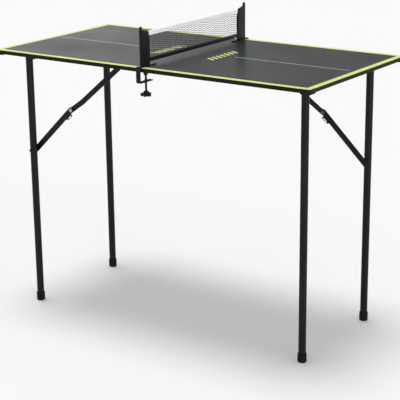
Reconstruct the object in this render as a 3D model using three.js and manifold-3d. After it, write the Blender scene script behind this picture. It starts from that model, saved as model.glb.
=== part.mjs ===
// Compact folding table tennis table with a clamp-on net.
// Millimetres, +Z up. The origin is on the floor under the centre of the top;
// X runs along the length of the top, Y across it, and the net stands over X = 0.
// Each of the two leg frames folds up under the top about its own crossbar. The
// second frame is the first one turned half a turn about Z, and both are offset
// sideways so that their tubes lie side by side when folded.
import * as THREE from 'three';
import { mergeVertices } from 'three/addons/utils/BufferGeometryUtils.js';
import Module from 'manifold-3d';

const wasm = await Module();
wasm.setup();

// ---- driving dimensions ----------------------------------------------------
const TOP_L = 900;            // playing top, length
const TOP_W = 450;            // playing top, width
const TOP_Z = 670;            // playing surface above the floor
const BOARD_T = 10;           // board thickness
const EDGE_T = 3;             // edge band thickness
const CAP_LEG = 24;           // corner guard, length along each side
const CAP_DROP = 2.5;          // corner guard, how far it hangs below the board
const GAP = 0.3;              // running and seating gap

const TUBE_R = 9;             // frame tube, outer radius
const TUBE_T = 1.2;           // frame tube, wall
const LEG_X = -389;           // leg axis, from the centre of the top
const LEG_Y_OUT = -168;       // leg with the brace, on the outer line
const LEG_Y_IN = 138;         // leg without a brace
const PIVOT_Z = 648;          // folding axis, centre of the crossbar
const LEG_TOP = 655;          // upper end of the leg tubes
const FOOT_R = 10.75;         // foot cap, outer radius
const FOOT_H = 22;
const FOOT_FLOOR = 3;

const CLIP_Y = [-110, 80];    // where the crossbar clips sit
const CLIP_W = 18;

// Folding brace: lower link on the leg at A, upper link under the top at B, and
// the knee M between them, held a little past the straight line.
const BRACE_A = [LEG_X, 408];
const BRACE_B = [-110, 652];
const LINK_LOW = 165.935;     // A to M
const LINK_UP = 205.115;      // M to B
const BEND_AT = 45;           // the upper link's bend, from the knee
const BEND_DROP = 3.3;        // and how far it lies below the line from M to B
const LOW_R = 7.5;            // half width of the lower link
const UP_R = 6.75;            // half width of the upper link
const Y_LOW = [-157.9, -156.3];
const Y_LATCH = [-156.0, -154.4];
const Y_UP = [-154.1, -152.5];
const Y_TAB = [-152.2, -150.6];

const POST_Y = [-221, -187];  // net post, outer and inner edge
const POST_T = 5;
const ARM_T = 2.5;            // clamp strip
const ARM_W = 12;
const CLAMP_Y = -231.5;       // outer face of the clamp's web
const CLAMP_LOW = 634;        // underside of the clamp's lower arm
const ARM_TOP_END = -168;     // inner end of the clamp's upper arm
const ARM_END = -182;         // inner end of its lower arm
const SCREW_Y = -202;
const SCREW_R = 2.8;
const TAPE_TOP = 750.5;
const TAPE_H = 10.5;
const BAR_Z = [679, 688];

const UNDER = TOP_Z - BOARD_T;

// ---- finishes --------------------------------------------------------------
const finish = (color, roughness, metalness) => new THREE.MeshStandardMaterial({ color, roughness, metalness });
const GREY_TOP = () => finish(0x63686a, 0.45, 0);
const BLACK_TRIM = () => finish(0x1b1c1e, 0.5, 0);
const BLACK_STEEL = () => finish(0x202325, 0.4, 0.3);
const ZINC = () => finish(0xa9adb0, 0.35, 1);
const BLACK_RUBBER = () => finish(0x151617, 0.8, 0);
const NET_CLOTH = () => finish(0x2a2d2d, 0.9, 0);
const WHITE_TAPE = () => finish(0xf0f0ec, 0.85, 0);

// ---- geometry helpers ------------------------------------------------------
function clean(geometry) {
  let g = geometry.index ? geometry.toNonIndexed() : geometry.clone();
  g.deleteAttribute('normal');
  g.deleteAttribute('uv');
  g = mergeVertices(g, 1e-4);
  const old = g.index.array;
  const kept = [];
  for (let i = 0; i < old.length; i += 3) {
    const [a, b, c] = [old[i], old[i + 1], old[i + 2]];
    if (a !== b && b !== c && c !== a) kept.push(a, b, c);
  }
  const p = g.attributes.position.array;
  let volume = 0;
  for (let i = 0; i < kept.length; i += 3) {
    const [a, b, c] = [kept[i] * 3, kept[i + 1] * 3, kept[i + 2] * 3];
    volume += p[a] * (p[b + 1] * p[c + 2] - p[b + 2] * p[c + 1])
      + p[a + 1] * (p[b + 2] * p[c] - p[b] * p[c + 2])
      + p[a + 2] * (p[b] * p[c + 1] - p[b + 1] * p[c]);
  }
  if (volume < 0) for (let i = 0; i < kept.length; i += 3) [kept[i + 1], kept[i + 2]] = [kept[i + 2], kept[i + 1]];
  g.setIndex(kept);
  return g;
}

function solid(geometry) {
  const g = clean(geometry);
  return new wasm.Manifold(new wasm.Mesh({
    numProp: 3,
    vertProperties: new Float32Array(g.attributes.position.array),
    triVerts: new Uint32Array(g.index.array),
  }));
}

function shell(body) {
  const m = body.getMesh();
  const g = new THREE.BufferGeometry();
  g.setAttribute('position', new THREE.BufferAttribute(new Float32Array(m.vertProperties), 3));
  g.setIndex(new THREE.BufferAttribute(new Uint32Array(m.triVerts), 1));
  return g;
}

const join = (first, ...rest) => shell(rest.reduce((a, b) => a.add(solid(b)), solid(first)));
const cut = (first, ...rest) => shell(rest.reduce((a, b) => a.subtract(solid(b)), solid(first)));

function extrude(shape, low, high, bevel, curveSegments) {
  const g = new THREE.ExtrudeGeometry(shape, {
    depth: high - low - 2 * bevel,
    bevelEnabled: bevel > 0,
    bevelThickness: bevel,
    bevelSize: bevel,
    bevelOffset: -bevel,
    bevelSegments: 1,
    curveSegments,
  });
  g.translate(0, 0, low + bevel);
  return g;
}
// outline in X, Y; thickness along Z
const plateZ = (shape, z0, z1, bevel = 0, n = 8) => extrude(shape, z0, z1, bevel, n);
// outline in X, Z; thickness along Y
const plateY = (shape, y0, y1, bevel = 0, n = 8) => extrude(shape, -y1, -y0, bevel, n).rotateX(Math.PI / 2);
// outline in Y, Z; thickness along X
const TURN_YZ = new THREE.Matrix4().set(0, 0, 1, 0, 1, 0, 0, 0, 0, 1, 0, 0, 0, 0, 0, 1);
const plateX = (shape, x0, x1, bevel = 0, n = 8) => extrude(shape, x0, x1, bevel, n).applyMatrix4(TURN_YZ);

const box = (x0, x1, y0, y1, z0, z1) => new THREE.BoxGeometry(x1 - x0, y1 - y0, z1 - z0)
  .translate((x0 + x1) / 2, (y0 + y1) / 2, (z0 + z1) / 2);
const rodZ = (r, x, y, z0, z1, n = 20) => new THREE.CylinderGeometry(r, r, z1 - z0, n).rotateX(Math.PI / 2)
  .translate(x, y, (z0 + z1) / 2);
const rodY = (r, x, z, y0, y1, n = 20) => new THREE.CylinderGeometry(r, r, y1 - y0, n).translate(x, (y0 + y1) / 2, z);

// outlines always run counter-clockwise, and holes clockwise
function outline(points) {
  const area = points.reduce((sum, [u, v], i) => {
    const [nu, nv] = points[(i + 1) % points.length];
    return sum + u * nv - nu * v;
  }, 0);
  const s = new THREE.Shape();
  (area < 0 ? [...points].reverse() : points).forEach(([u, v], i) => (i ? s.lineTo(u, v) : s.moveTo(u, v)));
  return s;
}
// turned piece: profile of (radius, height) pairs, axis along Z
const turned = (profile, n) => new THREE.LatheGeometry(profile.map(([r, z]) => new THREE.Vector2(r, z)), n).rotateX(Math.PI / 2);
// flat strip with round ends from p to q, and round holes
function strip(p, q, r, holes, n = 7) {
  const a = Math.atan2(q[1] - p[1], q[0] - p[0]);
  const pts = [];
  for (let i = 0; i <= n; i++) pts.push([q[0] + r * Math.cos(a - Math.PI / 2 + Math.PI * i / n), q[1] + r * Math.sin(a - Math.PI / 2 + Math.PI * i / n)]);
  for (let i = 0; i <= n; i++) pts.push([p[0] + r * Math.cos(a + Math.PI / 2 + Math.PI * i / n), p[1] + r * Math.sin(a + Math.PI / 2 + Math.PI * i / n)]);
  const s = outline(pts);
  for (const [u, v, hr] of holes) {
    const h = new THREE.Path();
    h.absarc(u, v, hr, 0, Math.PI * 2, true);
    s.holes.push(h);
  }
  return s;
}

// flat strip along three points, with round ends and round holes
function bentStrip([p, q, s], r, holes, n = 7) {
  const turnOf = ([ax, az], [bx, bz]) => Math.atan2(bz - az, bx - ax);
  const [a, b] = [turnOf(p, q), turnOf(q, s)];
  const middle = (a + b) / 2 + Math.PI / 2;
  const reach = r / Math.cos((b - a) / 2);
  const round = ([cx, cz], from) => Array.from({ length: n + 1 }, (_, i) => [cx + r * Math.cos(from + Math.PI * i / n), cz + r * Math.sin(from + Math.PI * i / n)]);
  const shape = outline([
    ...round(s, b - Math.PI / 2),
    [q[0] + reach * Math.cos(middle), q[1] + reach * Math.sin(middle)],
    ...round(p, a + Math.PI / 2),
    [q[0] - reach * Math.cos(middle), q[1] - reach * Math.sin(middle)]]);
  for (const [u, v, hr] of holes) {
    const h = new THREE.Path();
    h.absarc(u, v, hr, 0, Math.PI * 2, true);
    shape.holes.push(h);
  }
  return shape;
}

const table = new THREE.Group();
function piece(parent, name, geometry, material) {
  const g = clean(geometry);
  const flat = g.toNonIndexed();
  flat.computeVertexNormals();
  const mesh = new THREE.Mesh(flat, material);
  mesh.name = name;
  parent.add(mesh);
  return mesh;
}

// ---- playing top -----------------------------------------------------------
const HX = TOP_L / 2;
const HY = TOP_W / 2;
const CLIP_SCREW_X = LEG_X - 20;
const TAB_SCREWS = [[BRACE_B[0] - 5.2, -140], [BRACE_B[0] + 5.2, -134]];
const pilots = [];
for (const turn of [1, -1]) {
  for (const y of CLIP_Y) pilots.push(rodZ(2.05, turn * CLIP_SCREW_X, turn * y, UNDER - 1, UNDER + 7, 10));
  for (const [x, y] of TAB_SCREWS) pilots.push(rodZ(2.05, turn * x, turn * y, UNDER - 1, UNDER + 7, 10));
}
piece(table, 'table_top_board', cut(
  box(-HX + EDGE_T + GAP, HX - EDGE_T - GAP, -HY + EDGE_T + GAP, HY - EDGE_T - GAP, UNDER, TOP_Z), ...pilots), GREY_TOP());

// edge bands, with softened outer edges
const bandSection = (sign) => {
  const o = sign;
  return [[0, 0], [o * (EDGE_T - 1), 0], [o * EDGE_T, 1], [o * EDGE_T, BOARD_T - 1], [o * (EDGE_T - 1), BOARD_T], [0, BOARD_T]];
};
for (const [name, sign] of [['edge_band_front', -1], ['edge_band_back', 1]]) {
  const s = outline(bandSection(sign).map(([y, z]) => [sign * (HY - EDGE_T) + y, UNDER + z]));
  piece(table, name, plateX(s, -HX + CAP_LEG + GAP, HX - CAP_LEG - GAP), BLACK_TRIM());
}
for (const [name, sign] of [['edge_band_left', -1], ['edge_band_right', 1]]) {
  const s = outline(bandSection(sign).map(([x, z]) => [sign * (HX - EDGE_T) + x, UNDER + z]));
  piece(table, name, plateY(s, -HY + CAP_LEG + GAP, HY - CAP_LEG - GAP), BLACK_TRIM());
}

// corner guards: an upright wall round the corner and a gusset under the board
function cornerGuard() {
  const R = 4;
  const arc = (r, cx, cy, n = 6) => Array.from({ length: n + 1 }, (_, i) => [cx + r * Math.sin(Math.PI / 2 * i / n), cy + r * Math.cos(Math.PI / 2 * i / n)]);
  const outer = [[HX - CAP_LEG, HY], ...arc(R, HX - R, HY - R), [HX, HY - CAP_LEG]];
  const wall = outline([...outer, [HX - EDGE_T, HY - CAP_LEG], [HX - EDGE_T, HY - EDGE_T], [HX - CAP_LEG, HY - EDGE_T]]);
  const gusset = outline([...outer, [HX - 9, HY - CAP_LEG], [HX - CAP_LEG, HY - 9]]);
  return join(plateZ(wall, UNDER - CAP_DROP, TOP_Z, 0.7), plateZ(gusset, UNDER - CAP_DROP, UNDER - GAP, 0.7));
}
for (const [name, turn, mirror] of [['corner_cap_back_right', 0, 1], ['corner_cap_front_left', Math.PI, 1], ['corner_cap_front_right', 0, -1], ['corner_cap_back_left', Math.PI, -1]]) {
  const g = cornerGuard();
  if (mirror < 0) {
    g.scale(1, -1, 1);
  }
  const mesh = piece(table, name, g, BLACK_TRIM());
  mesh.rotation.z = turn;
}

// ---- leg frames with their folding braces ----------------------------------
// knee of the brace, on the upper side of the line from A to B
function knee([ax, az], [bx, bz]) {
  const d = Math.hypot(bx - ax, bz - az);
  const t = (LINK_LOW ** 2 - LINK_UP ** 2 + d * d) / (2 * d);
  const h = Math.sqrt(LINK_LOW ** 2 - t * t);
  const [ux, uz] = [(bx - ax) / d, (bz - az) / d];
  return [ax + t * ux - h * uz, az + t * uz + h * ux];
}

function legFrame(side) {
  const frame = new THREE.Group();
  const tube = (y) => turned([[TUBE_R - TUBE_T, FOOT_FLOOR + GAP], [TUBE_R, FOOT_FLOOR + GAP], [TUBE_R, LEG_TOP - 0.8], [TUBE_R - 0.8, LEG_TOP], [TUBE_R - TUBE_T, LEG_TOP], [TUBE_R - TUBE_T, FOOT_FLOOR + GAP]], 28)
    .translate(LEG_X, y, 0);
  const M = knee(BRACE_A, BRACE_B);

  piece(frame, `${side}_leg_tube_braced`, cut(tube(LEG_Y_OUT), rodY(3.3, BRACE_A[0], BRACE_A[1], LEG_Y_OUT - 12, LEG_Y_OUT + 12, 16)), BLACK_STEEL());
  piece(frame, `${side}_leg_tube_plain`, tube(LEG_Y_IN), BLACK_STEEL());
  const cap = (y) => turned([[0, 0], [FOOT_R - 1.6, 0], [FOOT_R, 1.6], [FOOT_R, FOOT_H - 1], [FOOT_R - 0.7, FOOT_H], [TUBE_R + GAP, FOOT_H], [TUBE_R + GAP, FOOT_FLOOR], [0, FOOT_FLOOR]], 28)
    .translate(LEG_X, y, 0);
  piece(frame, `${side}_foot_cap_braced`, cap(LEG_Y_OUT), BLACK_RUBBER());
  piece(frame, `${side}_foot_cap_plain`, cap(LEG_Y_IN), BLACK_RUBBER());

  // crossbar, coped to sit round both leg tubes
  const bar = turned([[TUBE_R - TUBE_T, LEG_Y_OUT], [TUBE_R, LEG_Y_OUT], [TUBE_R, LEG_Y_IN], [TUBE_R - TUBE_T, LEG_Y_IN], [TUBE_R - TUBE_T, LEG_Y_OUT]], 28)
    .rotateX(-Math.PI / 2).translate(LEG_X, 0, PIVOT_Z);
  piece(frame, `${side}_crossbar`, cut(bar,
    rodZ(TUBE_R + GAP, LEG_X, LEG_Y_OUT, 600, 700, 28), rodZ(TUBE_R + GAP, LEG_X, LEG_Y_IN, 600, 700, 28)), BLACK_STEEL());

  // clips that hold the crossbar under the board, one screw each
  CLIP_Y.forEach((y, i) => {
    const tag = i ? 'inner' : 'outer';
    const lug = box(LEG_X - 29, LEG_X, y - CLIP_W / 2, y + CLIP_W / 2, UNDER - GAP - 3.3, UNDER - GAP);
    piece(frame, `${side}_pivot_clip_${tag}`, shell(solid(rodY(11.1, LEG_X, PIVOT_Z, y - CLIP_W / 2, y + CLIP_W / 2, 28)).add(solid(lug))
      .subtract(solid(rodY(TUBE_R + GAP, LEG_X, PIVOT_Z, y - CLIP_W, y + CLIP_W, 28)))
      .subtract(solid(rodZ(2.15, CLIP_SCREW_X, y, 640, 665, 12)))), BLACK_STEEL());
    const head = UNDER - GAP - 3.3 - GAP;
    piece(frame, `${side}_clip_screw_${tag}`, turned([[0, head - 2.4], [2.6, head - 2.1], [4, head - 0.8], [4, head], [1.75, head], [1.75, UNDER + 5.5], [0, UNDER + 6.5]], 14)
      .translate(CLIP_SCREW_X, y, 0), ZINC());
  });

  // brace: lower link, upper link, bracket and rivets
  const dirLow = [(M[0] - BRACE_A[0]) / LINK_LOW, (M[1] - BRACE_A[1]) / LINK_LOW];
  const latchPivot = [M[0] - 24 * dirLow[0], M[1] - 24 * dirLow[1]];
  piece(frame, `${side}_brace_lower_link`, plateY(strip(BRACE_A, M, LOW_R,
    [[...BRACE_A, 3.3], [...M, 2.8], [...latchPivot, 2.3]]), ...Y_LOW), BLACK_STEEL());
  const dirUp = [(BRACE_B[0] - M[0]) / LINK_UP, (BRACE_B[1] - M[1]) / LINK_UP];
  const bend = [M[0] + BEND_AT * dirUp[0] + BEND_DROP * dirUp[1], M[1] + BEND_AT * dirUp[1] - BEND_DROP * dirUp[0]];
  piece(frame, `${side}_brace_upper_link`, plateY(bentStrip([BRACE_B, bend, M], UP_R,
    [[...BRACE_B, 2.8], [...M, 2.8]]), ...Y_UP), BLACK_STEEL());

  const rivet = (profile, [x, z], n = 18) => turned(profile, n).rotateX(-Math.PI / 2).translate(x, 0, z);
  // profiles run along +Y as (radius, y)
  const legIn = LEG_Y_OUT - TUBE_R;
  piece(frame, `${side}_leg_rivet`, rivet([[0, legIn - 4.6], [2.2, legIn - 4.3], [4.2, legIn - 2.9], [5, legIn - GAP - 0.8], [5, legIn - GAP], [3, legIn - GAP],
    [3, Y_LATCH[0]], [5.4, Y_LATCH[0]], [5.4, Y_LATCH[0] + 0.9], [4.2, Y_LATCH[1]], [0, Y_LATCH[1]]], BRACE_A), BLACK_STEEL());
  piece(frame, `${side}_knee_rivet`, rivet([[0, Y_LOW[0] - 0.9], [3.2, Y_LOW[0] - 0.8], [4.6, Y_LOW[0] - GAP], [2.5, Y_LOW[0] - GAP], [2.5, Y_LATCH[0]], [4.8, Y_LATCH[0]],
    [4.8, Y_LATCH[1]], [0, Y_LATCH[1]]], M), ZINC());
  piece(frame, `${side}_knee_rivet_head`, rivet([[0, Y_UP[0]], [2.5, Y_UP[0]], [2.5, Y_TAB[0]], [5.2, Y_TAB[0]], [5.2, Y_TAB[0] + 0.5], [3.6, Y_TAB[0] + 1.3], [0, Y_TAB[0] + 1.5]], M), ZINC());
  piece(frame, `${side}_bracket_rivet`, rivet([[0, Y_LATCH[0] + 0.1], [3.4, Y_LATCH[0] + 0.1], [4.6, Y_LATCH[0] + 0.9], [4.6, Y_LATCH[1]], [2.5, Y_LATCH[1]], [2.5, Y_TAB[1] + GAP],
    [4.6, Y_TAB[1] + GAP], [4.6, Y_TAB[1] + 0.9], [3.6, Y_TAB[1] + 1.6], [0, Y_TAB[1] + 1.6]], BRACE_B), ZINC());

  // bracket: an ear for the upper link and a foot screwed under the board
  const [bx, bz] = BRACE_B;
  const ear = [[bx - 11, UNDER - GAP]];
  for (let i = 0; i <= 8; i++) {
    const a = Math.PI + Math.PI * i / 8;
    ear.push([bx + 7 * Math.cos(a), bz + 7 * Math.sin(a)]);
  }
  ear.push([bx + 11, UNDER - GAP]);
  const earShape = outline(ear);
  const earHole = new THREE.Path();
  earHole.absarc(bx, bz, 2.8, 0, Math.PI * 2, true);
  earShape.holes.push(earHole);
  const foot = outline([[bx - 11, Y_TAB[0]], [bx + 11, Y_TAB[0]], [bx + 11, -131], [bx + 8, -128], [bx - 8, -128], [bx - 11, -131]]);
  let bracket = solid(plateY(earShape, ...Y_TAB)).add(solid(plateZ(foot, UNDER - GAP - 1.7, UNDER - GAP)));
  for (const [x, y] of TAB_SCREWS) {
    bracket = bracket.subtract(solid(turned([[0, UNDER - 3], [3.95, UNDER - 3], [3.95, UNDER - GAP - 1.7], [2.15, UNDER - GAP], [2.15, UNDER + 1], [0, UNDER + 1]], 14).translate(x, y, 0)));
  }
  piece(frame, `${side}_brace_bracket`, shell(bracket), BLACK_STEEL());
  TAB_SCREWS.forEach(([x, y], i) => {
    piece(frame, `${side}_bracket_screw_${i + 1}`, turned([[0, UNDER - GAP - 1.7], [3.4, UNDER - GAP - 1.7], [3.4, UNDER - GAP - 1.4], [1.75, UNDER - GAP], [1.75, UNDER + 5.5], [0, UNDER + 6.5]], 12)
      .translate(x, y, 0), ZINC());
  });

  // thumb latch on the lower link, with its pivot stub and a finger below the link
  const nrm = [dirLow[1], -dirLow[0]];                  // points below the link
  const at = (along, down) => [latchPivot[0] + along * dirLow[0] + down * nrm[0], latchPivot[1] + along * dirLow[1] + down * nrm[1]];
  const finger = outline([at(-4, -4.5), at(4, -4.5), at(6.3, -1), at(6.3, 4.6), at(8, 6.2), at(14.6, 7), at(16.6, 8.2), at(17.1, 10), at(16.1, 12), at(13.8, 12.9), at(3, 12.6), at(-2.8, 11.4), at(-5.7, 8.6), at(-6.7, 5), at(-6.3, -1)]);
  const slot = [];
  for (const [along, from] of [[12, Math.PI / 2], [1, -Math.PI / 2]]) {
    for (let i = 0; i <= 6; i++) {
      const a = from - Math.PI * i / 6;
      slot.push(at(along + 1.4 * Math.cos(a), 9.9 + 1.4 * Math.sin(a)));
    }
  }
  const eye = outline(slot).getPoints().reverse();
  finger.holes.push(new THREE.Path(eye));
  piece(frame, `${side}_brace_latch`, join(plateY(finger, ...Y_LATCH, 0, 6), rodY(2, latchPivot[0], latchPivot[1], Y_LOW[0] + 0.2, Y_LATCH[1] - 0.2, 14)), BLACK_STEEL());
  return frame;
}
table.add(legFrame('left'));
const rightFrame = legFrame('right');
rightFrame.rotation.z = Math.PI;
table.add(rightFrame);

// ---- net set ---------------------------------------------------------------
piece(table, 'net_mesh', box(-0.6, 0.6, POST_Y[1] + GAP + 0.3, -POST_Y[1] - GAP - 0.3, BAR_Z[1] + GAP, TAPE_TOP - TAPE_H - GAP), NET_CLOTH());
const tapeSection = outline([[-1.6, TAPE_TOP - TAPE_H], [1.6, TAPE_TOP - TAPE_H], [1.6, TAPE_TOP - 0.9], [0.7, TAPE_TOP], [-0.7, TAPE_TOP], [-1.6, TAPE_TOP - 0.9]]);
piece(table, 'net_top_tape', plateY(tapeSection, POST_Y[1] + GAP, -POST_Y[1] - GAP), WHITE_TAPE());
const barSection = outline([[-2, BAR_Z[0] + 0.6], [-1.4, BAR_Z[0]], [1.4, BAR_Z[0]], [2, BAR_Z[0] + 0.6], [2, BAR_Z[1] - 0.6], [1.4, BAR_Z[1]], [-1.4, BAR_Z[1]], [-2, BAR_Z[1] - 0.6]]);
piece(table, 'net_bottom_bar', plateY(barSection, POST_Y[1] + GAP, -POST_Y[1] - GAP), BLACK_STEEL());

function netEnd(side) {
  const end = new THREE.Group();
  const armTop = TOP_Z + GAP + ARM_T;
  // post: flat upright with a raised nib on its outer edge
  const post = outline([[POST_Y[0], armTop + GAP], [POST_Y[1] - 1, armTop + GAP], [POST_Y[1], armTop + GAP + 1], [POST_Y[1], 731], [POST_Y[1] - 3.5, 748], [POST_Y[1] - 5.5, 750.5], [POST_Y[1] - 26, 755.5],
    [POST_Y[1] - 27.6, 757.5], [POST_Y[1] - 28.2, 762], [POST_Y[1] - 30.2, 764], [POST_Y[1] - 32.6, 763.6], [POST_Y[0], 761.5]]);
  piece(end, `net_post_${side}`, plateX(post, -POST_T / 2, POST_T / 2, 0.6), BLACK_STEEL());

  // C clamp bent from strip
  const [yo, yi] = [CLAMP_Y, CLAMP_Y + ARM_T];
  const [zt, zl] = [armTop, CLAMP_LOW];
  const c = outline([[ARM_TOP_END, TOP_Z + GAP], [ARM_TOP_END, zt], [yo + 2.4, zt], [yo + 0.7, zt - 0.7], [yo, zt - 2.4], [yo, zl + 2.4], [yo + 0.7, zl + 0.7], [yo + 2.4, zl], [ARM_END, zl], [ARM_END, zl + ARM_T],
    [yi + 0.6, zl + ARM_T], [yi, zl + ARM_T + 0.6], [yi, TOP_Z + GAP - 0.6], [yi + 0.6, TOP_Z + GAP]]);
  piece(end, `net_clamp_${side}`, cut(plateX(c, -ARM_W / 2, ARM_W / 2, 0.4), rodZ(SCREW_R + GAP, 0, SCREW_Y, zl - 3, zl + 6, 18)), BLACK_STEEL());

  piece(end, `clamp_pad_${side}`, turned([[0, UNDER - GAP], [6.5, UNDER - GAP], [6.8, UNDER - 1.6], [4.6, 650], [4.2, 649.5], [SCREW_R + GAP, 649.5], [SCREW_R + GAP, 654.3], [0, 655.4]].reverse(), 20)
    .translate(0, SCREW_Y, 0), BLACK_TRIM());
  piece(end, `clamp_screw_${side}`, turned([[0, 604.6], [SCREW_R, 604.6], [SCREW_R, 652.6], [SCREW_R - 1, 653.8], [0, 654.2]], 18)
    .translate(0, SCREW_Y, 0), BLACK_STEEL());
  // five-lobed knob with a hub on top
  const lobes = outline(Array.from({ length: 40 }, (_, i) => {
    const a = 2 * Math.PI * i / 40;
    const r = 11.2 + 2.4 * Math.cos(5 * a);
    return [r * Math.cos(a), SCREW_Y + r * Math.sin(a)];
  }));
  piece(end, `clamp_knob_${side}`, shell(solid(plateZ(lobes, 600, 607.5, 1.5)).add(solid(turned([[0, 603], [7, 603], [7, 608], [6, 611.2], [5.2, 612], [0, 612]], 20).translate(0, SCREW_Y, 0)))
    .subtract(solid(rodZ(SCREW_R + GAP, 0, SCREW_Y, 604.3, 620, 18)))), BLACK_TRIM());
  return end;
}
table.add(netEnd('front'));
const backEnd = netEnd('back');
backEnd.rotation.z = Math.PI;
table.add(backEnd);

export default table;
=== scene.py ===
import math
import random

import bmesh
import bpy
from mathutils import Matrix, Vector
from mathutils.geometry import tessellate_polygon


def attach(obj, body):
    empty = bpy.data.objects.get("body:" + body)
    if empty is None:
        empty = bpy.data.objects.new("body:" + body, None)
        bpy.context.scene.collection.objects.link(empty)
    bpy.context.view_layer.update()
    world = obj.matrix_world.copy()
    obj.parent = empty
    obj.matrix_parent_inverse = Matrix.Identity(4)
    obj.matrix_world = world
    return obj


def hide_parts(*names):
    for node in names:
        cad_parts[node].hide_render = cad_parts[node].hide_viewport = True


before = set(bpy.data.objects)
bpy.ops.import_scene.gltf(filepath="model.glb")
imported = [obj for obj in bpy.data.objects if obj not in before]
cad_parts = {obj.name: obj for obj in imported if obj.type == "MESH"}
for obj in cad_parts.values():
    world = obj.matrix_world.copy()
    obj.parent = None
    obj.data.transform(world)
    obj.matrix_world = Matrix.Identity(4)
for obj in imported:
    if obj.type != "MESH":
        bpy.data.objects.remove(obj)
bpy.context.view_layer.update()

MM = 0.001
SCENE = bpy.context.scene
SCENE.view_settings.view_transform = "Standard"
SCENE.view_settings.look = "None"

# ---- the part's own numbers, in millimetres ---------------------------------
HX, HY, TOP_Z, UNDER = 450.0, 225.0, 670.0, 660.0
EDGE_T, CAP_LEG, GAP = 3.0, 24.0, 0.3
TUBE_R, TUBE_IN, LEG_X, Y_OUT, Y_IN = 9.0, 7.8, -389.0, -168.0, 138.0
PIVOT_Z, LEG_TOP, FOOT_R, FOOT_H = 648.0, 655.0, 10.75, 22.0
A = (-389.0, 408.0)
B = (-110.0, 652.0)
LINK_LOW, LINK_UP, BEND_AT, BEND_DROP = 165.935, 205.115, 45.0, 3.3
Y_LOW, Y_LATCH, Y_UP, Y_TAB = (-157.9, -156.3), (-156.0, -154.4), (-154.1, -152.5), (-152.2, -150.6)
CLIP_Y = (-110.0, 80.0)
SCREW_Y = -202.0


# ---- mesh helpers -----------------------------------------------------------
def build(name, verts, faces, mat, body, slot, replaced=(), turn=False, sharp=38.0, mats=None):
    """A piece from millimetre coordinates, welded, with outward normals and edges sharper than `sharp` degrees kept crisp."""
    s = -MM if turn else MM
    me = bpy.data.meshes.new(name)
    me.from_pydata([(x * s, y * s, z * MM) for x, y, z in verts], [], faces)
    bm = bmesh.new()
    bm.from_mesh(me)
    bmesh.ops.remove_doubles(bm, verts=bm.verts, dist=2e-6)
    bmesh.ops.dissolve_degenerate(bm, edges=bm.edges, dist=1e-7)
    bmesh.ops.recalc_face_normals(bm, faces=bm.faces)
    limit = math.radians(sharp)
    for f in bm.faces:
        f.smooth = True
    for e in bm.edges:
        e.smooth = not (len(e.link_faces) == 2 and e.calc_face_angle(0.0) > limit)
    bm.to_mesh(me)
    bm.free()
    me.materials.append(mat)
    ob = bpy.data.objects.new(name, me)
    SCENE.collection.objects.link(ob)
    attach(ob, body)
    if replaced:
        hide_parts(*replaced)
    return ob


def merge(*parts):
    """Several (verts, faces) as one."""
    verts, faces = [], []
    for v, f in parts:
        k = len(verts)
        verts += list(v)
        faces += [tuple(i + k for i in q) for q in f]
    return verts, faces


def turned(profile, n=48, axis="Z", at=(0, 0, 0), closed=False, shape=None):
    """A turned piece from (radius, height) pairs. A closed profile is a ring; otherwise both ends are on the axis."""
    verts, faces, rings = [], [], []
    for r, h in profile:
        if r < 1e-6:
            rings.append([len(verts)])
            verts.append((0.0, 0.0, h))
        else:
            rings.append(list(range(len(verts), len(verts) + n)))
            for i in range(n):
                a = 2 * math.pi * i / n
                k = shape(a, r, h) if shape else r
                verts.append((k * math.cos(a), k * math.sin(a), h))
    pairs = list(zip(rings, rings[1:]))
    if closed:
        pairs.append((rings[-1], rings[0]))
    for p, q in pairs:
        for i in range(n):
            j = (i + 1) % n
            if len(p) == 1 and len(q) == 1:
                break
            if len(p) == 1:
                faces.append((p[0], q[j], q[i]))
            elif len(q) == 1:
                faces.append((p[i], p[j], q[0]))
            else:
                faces.append((p[i], p[j], q[j], q[i]))
    if axis == "Y":
        verts = [(x, z, -y) for x, y, z in verts]
    x0, y0, z0 = at
    return [(x + x0, y + y0, z + z0) for x, y, z in verts], faces


def area(loop):
    return sum(u * loop[(i + 1) % len(loop)][1] - loop[(i + 1) % len(loop)][0] * v for i, (u, v) in enumerate(loop))


def rounded(points, radii, n=6):
    """A polygon with its corners rounded off, one radius each (or one for all)."""
    if not hasattr(radii, "__len__"):
        radii = [radii] * len(points)
    out = []
    for i, (p, r) in enumerate(zip(points, radii)):
        p, a, b = Vector(p), Vector(points[i - 1]), Vector(points[(i + 1) % len(points)])
        u, v = (a - p).normalized(), (b - p).normalized()
        half = math.acos(max(-1, min(1, u.dot(v)))) / 2
        if r <= 0 or half < 0.02 or half > math.pi / 2 - 0.02:
            out.append(tuple(p))
            continue
        d = min(r / math.tan(half), 0.48 * (a - p).length, 0.48 * (b - p).length)
        r2 = d * math.tan(half)
        c = p + (u + v).normalized() * (r2 / math.sin(half))
        s, e = p + u * d - c, p + v * d - c
        a0 = math.atan2(s.y, s.x)
        sweep = (math.atan2(e.y, e.x) - a0 + math.pi) % (2 * math.pi) - math.pi
        out += [(c.x + r2 * math.cos(a0 + sweep * k / n), c.y + r2 * math.sin(a0 + sweep * k / n)) for k in range(n + 1)]
    return out


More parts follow.
